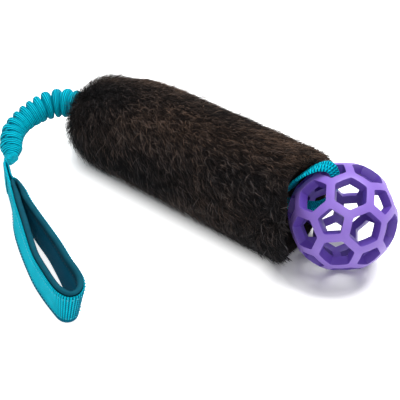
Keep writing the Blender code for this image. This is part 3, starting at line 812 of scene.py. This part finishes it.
strap = {
    # place and half width: out of the sleeve, and back into it
    "start": ((0.062, -0.0012, 0.0236, 0.0098), (0.073, -0.0012, 0.031, 0.01)),
    "end": ((0.074, -0.0012, 0.027, 0.0096), (0.062, -0.0012, 0.0204, 0.0098)),
    # degrees from the sleeve over the top, distance from the ball's middle, Y, half width:
    # over two ribs, in at the top window and out at the side
    "polar": (
        (5, 0.0495, -0.001, 0.0098), (19, 0.0447, -0.0022, 0.0104), (38, 0.0437, -0.0046, 0.012),
        (54, 0.044, -0.0046, 0.012), (67, 0.0449, -0.0022, 0.0088), (75, 0.0428, -0.0004, 0.006),
        (78.5, 0.0382, 0.0002, 0.0052), (78.5, 0.032, 0.0002, 0.0054), (71, 0.0235, 0, 0.0056),
        (40, 0.017, -0.0003, 0.0054), (4, 0.024, -0.0007, 0.0056), (-3, 0.038, -0.0007, 0.0062),
        (-7, 0.051, -0.0007, 0.0084)),
    "thick": 0.0018, "fullHalf": 0.01, "pleatDepth": 0.0026, "ribPitch": 0.0013,
    "ribRise": 0.00016,
}


def makeBallStrap(finish):
    rows = (*strap["start"], *(ballPolar(*row) for row in strap["polar"]), *strap["end"])
    middles, halves = strapLines([(row[:3], (0, row[3], 0)) for row in rows], 20)

    def pleat(share, across):
        half = np.interp(share, np.linspace(0, 1, len(halves)), halves[:, 1])
        spare = np.clip(1 - half / strap["fullHalf"], 0, 1)
        waves = np.sin((across - 0.5) * 3 * 2 * math.pi)
        return spare[:, None] * strap["pleatDepth"] * waves

    return ribbedStrip("ballStrap", middles - halves, middles + halves, strap["thick"], finish,
                       pitch=strap["ribPitch"], rib=strap["ribRise"], columns=28, lift=pleat)


ballPiece = makeBall(rubberFinish())
ballStrap = makeBallStrap(teal)
print("ball and strap made")


# Fur sleeve: a backing skin, and strands of pile rooted in it
sleeve = {
    # along X, radius: outside from the closed end to the mouth, then back inside
    "profile": (
        (-0.122, 0), (-0.1212, 0.01), (-0.119, 0.018), (-0.114, 0.0262), (-0.1056, 0.0335),
        (-0.0981, 0.037), (-0.09, 0.0395), (-0.0813, 0.0411), (-0.072, 0.042), (-0.04, 0.0426),
        (0, 0.0431), (0.04, 0.0436), (0.075, 0.044), (0.098, 0.0441), (0.104, 0.043),
        (0.1055, 0.0403), (0.1045, 0.0378), (0.1, 0.0368), (0.085, 0.0345), (0.04, 0.033),
        (-0.02, 0.0322), (-0.072, 0.0314), (-0.093, 0.028), (-0.104, 0.021), (-0.11, 0.011),
        (-0.1115, 0)),
    # the profile's outermost row at the mouth
    "rim": 15,
    # along X, sideways place and height of its middle
    "line": (
        (-0.122, 0.0095, 0.0372), (-0.1, 0.009, 0.0385), (-0.072, 0.0077, 0.0402),
        (-0.04, 0.0059, 0.0408), (0, 0.0019, 0.0413), (0.04, -0.0024, 0.0418),
        (0.075, -0.006, 0.0421), (0.1055, -0.0084, 0.0422)),
    "squash": 0.97, "around": 96, "sink": 0.0022,
    # slant of the mouth: its lower near side runs on
    "mouthReach": 0.0115, "mouthBand": (0.06, 0.098), "mouthTurns": (105, 160, 200, 252),
}


def ease(x, start, end):
    share = np.clip((x - start) / (end - start), 0, 1)
    return share * share * (3 - 2 * share)


# A point by place along the profile, radius, and angle from the far side over the top
def surfacePoint(x, r, angle):
    rise, full, fall, none = sleeve["mouthTurns"]
    turn = np.degrees(angle) % 360
    x = x + sleeve["mouthReach"] * (ease(x, *sleeve["mouthBand"]) * ease(turn, rise, full)
                                    * (1 - ease(turn, fall, none)))
    places, y, z = np.array(sleeve["line"]).T
    return np.stack((x, np.interp(x, places, y) + r * np.cos(angle),
                     np.interp(x, places, z) + r * np.sin(angle) * sleeve["squash"]), -1)


def makeSkin(finish):
    steps = 5
    line = smoothLine(sleeve["profile"], steps)
    turn = fullTurn(sleeve["around"])
    outside = np.arange(len(line)) <= sleeve["rim"] * steps
    radius = np.clip(line[:, 1] - np.where(outside, sleeve["sink"], -0.0003), 0, None)
    radius[0] = radius[-1] = 0
    shift = np.where(outside, 0.0015, -0.001)
    x, angle = np.broadcast_arrays((line[:, 0] + shift)[:, None], turn)
    points = surfacePoint(x, radius[:, None], angle)
    points[..., 2] = np.maximum(points[..., 2], 0.001)
    rows, columns = points.shape[:2]
    faces = ringFaces(rows, columns, rows - 1)[1]
    return addBody("furBacking", points, faces, finish, merge=0.00001)


fur = {
    # turns round the section, and what each has there
    "turns": (0, 30, 49, 70, 90, 115, 139, 180, 205, 229, 270, 311, 360),
    "bend": (-0.6, -0.35, -0.1, 0.05, 0.15, 0.32, 0.5, 0.62, 0.6, 0.45, 0, -0.5, -0.6),
    "stand": (0.8, 0.95, 1, 1, 0.95, 0.85, 0.75, 0.6, 0.38, 0.25, 0.2, 0.5, 0.8),
    "pastMouth": (0.003, 0.009, 0.014, 0.013, 0.009, 0.004, 0.007, 0.017, 0.015, 0.002, -0.002,
                  0, 0.003),
    "floor": 0.0003, "seed": 7, "perPiece": 12000,
    # strands, their length, lift, width, sections, gathering into tufts and tone
    "coats": {"undercoat": (48000, 0.009, 0.36, 0.00042, 2, 0.4, 0.2),
              "guardHair": (56000, 0.013, 0.28, 0.00042, 3, 0.5, 0.26),
              "litHair": (15000, 0.0105, 0.34, 0.00075, 3, 0.15, 0.46)},
    # width and length of the tufts, which lie along the comb
    "fineTuft": (0.001, 0.006), "wideTuft": (0.0045, 0.012),
    # lengths over which the comb, the lift and the brown drift
    "drifts": (0.045, 0.03, 0.05), "strays": 0.08,
    # the comb settles past the closed end, turns straight ahead and lies down at the mouth
    "settling": 0.05, "ahead": (0.088, 0.104), "calmer": (0.075, 0.1),
    # the pile is short and flat over the far shoulder: place along X and half length
    "shoulder": (-0.093, 0.016),
    # shares of fine tuft, wide tuft, brown, cool painted shade, painted sun and stray in the tone
    "shade": (0.55, 0.25, 0.4, 0.2, 0.12, 0.4),
}


# A smooth random field on the sleeve's surface, by angle and place along it
def softField(rng, size):
    waves = [(rng.normal() / size, rng.integers(-4, 5), rng.uniform(0, 2 * math.pi))
             for _ in range(14)]

    def value(x, angle):
        total = sum(np.cos(x * a + angle * n + phase) for a, n, phase in waves)
        return total / math.sqrt(len(waves) / 2)

    return value


# Roots spread evenly over the outside, up to the mouth's rim
def furRoots(rng, count):
    steps = 24
    line = smoothLine(sleeve["profile"], steps)
    line = line[:sleeve["rim"] * steps - 6]
    line[:, 1] = np.maximum(line[:, 1], 0)
    radius = line[:, 1]
    bands = np.hypot(*np.diff(line, axis=0).T) * (radius[1:] + radius[:-1]) / 2
    area = np.append(0, np.cumsum(bands))
    rows = np.arange(len(line))
    place = np.interp(rng.uniform(0, area[-1], count), area, rows)
    x, r = pickAlong(place, rows, line).T
    slope = unit(pickAlong(place, rows, np.gradient(line, axis=0)))
    return x, r, slope, rng.uniform(0, 2 * math.pi, count)


# The cell along the comb that each strand is in, and its random value
def tufts(rng, x, around, bend, size):
    across = (around * np.cos(bend) - x * np.sin(bend)) / size[0]
    lane = np.floor(across).astype(int)
    along = (x * np.cos(bend) + around * np.sin(bend)) / size[1]
    cell = np.floor(along + np.sin(lane * 12.9898) * 43.758).astype(int)
    _, index = np.unique(np.stack((lane, cell), 1), axis=0, return_inverse=True)
    index = index.ravel()
    return index, rng.uniform(0, 1, index.max() + 1)[index]


def drawTogether(points, index, pull):
    sums = np.zeros((index.max() + 1, 3))
    np.add.at(sums, index, points)
    middle = sums / np.bincount(index).clip(1)[:, None]
    return points + (middle[index] - points) * pull


# Strands of one coat, combed along the sleeve and down its sides in tufts
def growFur(name, finish):
    count, length, lift, width, sections, gather, tone = fur["coats"][name]
    rng = np.random.default_rng(fur["seed"] + len(name))
    swirl, rise, brown = (softField(rng, size) for size in fur["drifts"])
    x, r, slope, angle = furRoots(rng, count)
    turn = np.degrees(angle)
    ahead = np.array((1, 0, 0))
    radial = np.stack((0 * angle, np.cos(angle), np.sin(angle)), -1)
    around = np.stack((0 * angle, -np.sin(angle), np.cos(angle)), -1)
    normal = unit(radial * slope[:, :1] - ahead * slope[:, 1:])
    forward = unit(radial * slope[:, 1:] + ahead * slope[:, :1])
    atMouth = ease(x, *fur["ahead"])[:, None]
    forward = unit(forward * (1 - atMouth) + ahead * atMouth)
    root = surfacePoint(x, np.maximum(r - sleeve["sink"] * 0.8, 0), angle)
    settled = np.clip((x - sleeve["profile"][0][0]) / fur["settling"], 0, 1)
    bend = np.interp(turn, fur["turns"], fur["bend"]) * (0.35 + 0.65 * settled)
    bend = bend * (1 - 0.45 * ease(x, *fur["calmer"])) + 0.16 * swirl(x, angle)
    fineIndex, fine = tufts(rng, x, r * angle, bend, fur["fineTuft"])
    wideIndex, wide = tufts(rng, x, r * angle, bend, fur["wideTuft"])
    stray = rng.uniform(0, 1, count) < fur["strays"]
    bend += 0.35 * (wide - 0.5) + 0.3 * (fine - 0.5)
    bend += rng.normal(0, 0.24, count) * (1 + stray)
    comb = forward * np.cos(bend)[:, None] + around * np.sin(bend)[:, None]
    size = length * rng.uniform(0.7, 1.12, count) * (1 + 0.2 * stray)
    size *= 1 + 0.6 * (1 - settled) - 0.25 * ease(turn, 180, 230) * (1 - ease(turn, 300, 340))
    tilt = lift * (1 + 0.3 * rise(x, angle)) * rng.uniform(0.7, 1.3, count)
    tilt *= np.interp(turn, fur["turns"], fur["stand"])
    tilt += 0.6 * (1 - settled) ** 3 + 0.3 * stray + 0.26 * (wide - 0.5)
    tilt += 0.35 * ease(-x, 0.112, 0.12)
    place, half = fur["shoulder"]
    shoulder = np.exp(-((x - place) / half) ** 2) * (1 - ease(turn, 80, 120))
    tilt *= 1 - 0.8 * shoulder
    size *= 1 - 0.4 * shoulder
    tilt = np.clip(tilt, 0.04, 1.2)[:, None]
    start = comb * np.cos(tilt + 0.4) + normal * np.sin(tilt + 0.4)
    later = comb * np.cos(tilt * 0.3) + normal * np.sin(tilt * 0.3)
    middle = root + start * (size * 0.45)[:, None]
    tip = middle + later * (size * 0.55)[:, None]
    pull = (gather * rng.uniform(0.6, 1.1, count) * (1 - 0.8 * stray))[:, None]
    middle = drawTogether(middle, fineIndex, pull * 0.25)
    tip = drawTogether(tip, fineIndex, pull)
    tip = drawTogether(tip, wideIndex, pull * 0.22)
    # the mouth stays open: strands end a set way past its rim
    rimX = surfacePoint(np.full(count, sleeve["profile"][sleeve["rim"]][0]), r, angle)[:, 0]
    limit = rimX + np.interp(turn, fur["turns"], fur["pastMouth"]) * rng.uniform(0.5, 1, count)
    over = np.clip((tip[:, 0] - limit) / np.maximum(tip[:, 0] - root[:, 0], 1e-5), 0, 0.85)
    tip = tip + (root - tip) * over[:, None]
    middle = middle + (root - middle) * over[:, None]
    mottle = np.clip(0.5 + 0.32 * brown(x, angle), 0, 1)
    # near side and left end are cooler and painted darker: partly the pile's own cooler colour,
    # partly painted shade
    coolShade = np.maximum(ease(-x, 0.02, 0.09) * ease(turn, 80, 120), 0.75 * ease(turn, 100, 150))
    coolShade = coolShade * (1 - ease(turn, 235, 260))
    sunlit = (1 - ease(turn, 90, 125)) * ease(-x, 0, 0.06)
    warm = np.clip(0.25 + 0.45 * mottle + 0.25 * fine - 0.55 * coolShade
                   + rng.normal(0, 0.08, count), 0, 1)
    parts = (fine - 0.5, wide - 0.5, mottle - 0.5, -coolShade, sunlit, stray)
    for share, part in zip(fur["shade"], parts):
        tone = tone + share * part
    tone = np.clip(tone + rng.normal(0, 0.28, count), 0, 1)
    width = width * rng.uniform(0.75, 1.2, count) * (0.5 + 0.5 * settled)
    strands = (root, middle, tip, normal, width, tone, warm)
    return [strandPiece(name + str(part + 1), sections, finish,
                        *(row[first:first + fur["perPiece"]] for row in strands))
            for part, first in enumerate(range(0, count, fur["perPiece"]))]


# Tapered strands of three sides, each bent at its middle
def strandPiece(name, sections, finish, root, middle, tip, normal, width, tone, warm):
    count = len(root)
    share = np.linspace(0, 1, sections + 1)
    knee = 2 * middle - 0.5 * root - 0.5 * tip
    t = share[:, None]
    line = ((1 - t) ** 2 * root[:, None] + 2 * t * (1 - t) * knee[:, None]
            + t ** 2 * tip[:, None])
    run = unit(np.gradient(line, axis=1))
    side = unit(np.cross(run, normal[:, None]))
    top = np.cross(side, run)
    taper = np.interp(share, (0, 0.35, 0.75, 1), (0.75, 1, 0.7, 0))
    turns = np.radians((90, 210, 330))
    ring = ringAround(side, 0.6 * top, turns)
    thick = (width[:, None] * taper[:-1])[..., None, None] / 2
    body = line[:, :-1, None] + ring[:, :-1] * thick
    perStrand = sections * 3 + 1
    verts = np.concatenate((body.reshape(count, -1, 3), line[:, -1:]), 1)
    # strands that would pass the floor lie on it
    verts[..., 2] = np.maximum(verts[..., 2], fur["floor"] + 0.0001 * np.arange(perStrand))
    faces = [(2, 1, 0)]
    last, sides = perStrand - 4, ((0, 1), (1, 2), (2, 0))
    for p in range(0, last, 3):
        for j, k in sides:
            faces += [(p + j, p + k, p + 3 + k), (p + j, p + 3 + k, p + 3 + j)]
    faces += [(last + j, last + k, perStrand - 1) for j, k in sides]
    starts = np.arange(count) * perStrand
    tris = (np.array(faces) + starts[:, None, None]).reshape(-1, 3)
    mesh = bpy.data.meshes.new(name)
    mesh.vertices.add(count * perStrand)
    mesh.vertices.foreach_set("co", verts.astype(np.float32).ravel())
    mesh.loops.add(len(tris) * 3)
    mesh.loops.foreach_set("vertex_index", tris.astype(np.int32).ravel())
    mesh.polygons.add(len(tris))
    mesh.polygons.foreach_set("loop_start", np.arange(0, len(tris) * 3, 3, dtype=np.int32))
    mesh.update(calc_edges=True)
    mesh.validate()
    # tone, place from root to tip, and warmth of each point
    shade = np.ones((count, perStrand, 4))
    shade[..., 0] = tone[:, None]
    shade[..., 1] = np.append(np.repeat(share[:-1], 3), 1)
    shade[..., 2] = warm[:, None]
    layer = mesh.color_attributes.new("furTone", "FLOAT_COLOR", "POINT")
    layer.data.foreach_set("color", shade.astype(np.float32).ravel())
    mesh.shade_smooth()
    return addObject(name, mesh, finish)


backing = makeSkin(skinFinish())
furCloth = furFinish()
pile = [piece for name in fur["coats"] for piece in growFur(name, furCloth)]
print("fur grown on", len(pile), "pieces")


# Floor, world and lamps
light = {"floor": (0.86, 0.86, 0.86), "world": 0.55, "glow": (0.74, 0.74, 0.74),
         "glowStart": 0.02, "glowFull": 0.037, "toyMiddle": 0.018, "toyHalf": 0.118,
         "toySlant": 0.079, "ballStart": 0.095, "ballFull": 0.125, "ballShade": 0.013}


# Pale floor with the toy's shadow close to it, white farther out: a painted glow for camera,
# glossy and transmission rays, held back near the toy and farther under the ball
def makeFloor():
    bpy.ops.mesh.primitive_plane_add(size=8)
    floor = bpy.context.object
    floor.name = "paleFloor"
    finish = Finish("paleFloor", Roughness=0.9, Base_Color=light["floor"],
                    Emission_Strength=1)
    seen = sum(finish.node("LightPath", out="Is " + ray + " Ray")
               for ray in ("Camera", "Glossy", "Transmission")).clamp()
    x, y, _ = finish.split("XYZ", finish.place())
    y = y + x * light["toySlant"]
    past = (x - light["toyMiddle"]).maths("ABSOLUTE") - light["toyHalf"]
    past = past.maths("MAXIMUM", 0)
    away = (past * past + y * y) ** 0.5
    # the glow is held back farther under the ball, which paints its shadow there darker
    away = away - x.spread(light["ballStart"], light["ballFull"]) * light["ballShade"]
    share = away.spread(light["glowStart"], light["glowFull"]) * seen
    glow = finish.blend(share, (0, 0, 0), light["glow"])
    floor.data.materials.append(finish.done(Emission_Color=glow))


def makeWorld():
    sky = Finish("studio", "worlds", "Background", Color=(1, 1, 1))
    seen = sky.node("LightPath", out="Is Camera Ray")
    scene.world = sky.done(Strength=seen * (1 - light["world"]) + light["world"])


def addLamp(name, place, target, size, power):
    lamp = bpy.data.lights.new(name, "AREA")
    lamp.shape = "DISK"
    lamp.size = size
    lamp.energy = power
    item = addItem(name, lamp)
    item.location = place
    item.rotation_euler = (Vector(target) - Vector(place)).to_track_quat("-Z", "Y").to_euler()


makeFloor()
makeWorld()
addLamp("softTop", (0.15, 0.45, 1.5), (0, -0.03, 0), 1.2, 26)
addLamp("softFront", (0.9, -1.1, 1.2), (0, -0.05, 0.03), 1, 8)
print("light set")


# Pieces by finish, with the body that each rides on and the node that it replaces. The core
# and the cover stretch between two bodies
homes = {
    "elastic_core": [(core, None, "elastic_cord")],
    "ribbed_webbing": [
        (cover, None, "gathered_cover"), (tailPiece, "bungee_end", "bungee_tail"),
        (handleWebbing, "handle", "handle_webbing"), (neckWebbing, "bungee", "neck_webbing"),
        (coreWebbing, "sleeve", "core_webbing"), (ballStrap, "ball_loop", "ball_strap")],
    "padded_lining": [(lining, "handle", "handle_lining")],
    "sewing_thread": [
        (seams["lower"], "handle", "lower_seam"), (seams["upper"], "handle", "upper_seam"),
        (seams["lowerInside"], "handle"), (seams["upperInside"], "handle"),
        (handleTack, "handle", "handle_tack"), (neckTack, "bungee", "neck_tack"),
        (strapTack, "ball_loop", "strap_tack")],
    "ball_rubber": [(ballPiece, "ball", "lattice_ball")],
    "fur_pile": [(backing, "sleeve", "fur_sleeve")] + [(piece, "sleeve") for piece in pile],
}
for slot, pieces in homes.items():
    for piece, body, *nodes in pieces:
        if nodes:
            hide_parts(*nodes)
        if body:
            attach(piece, body)
        else:
            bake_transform(piece)
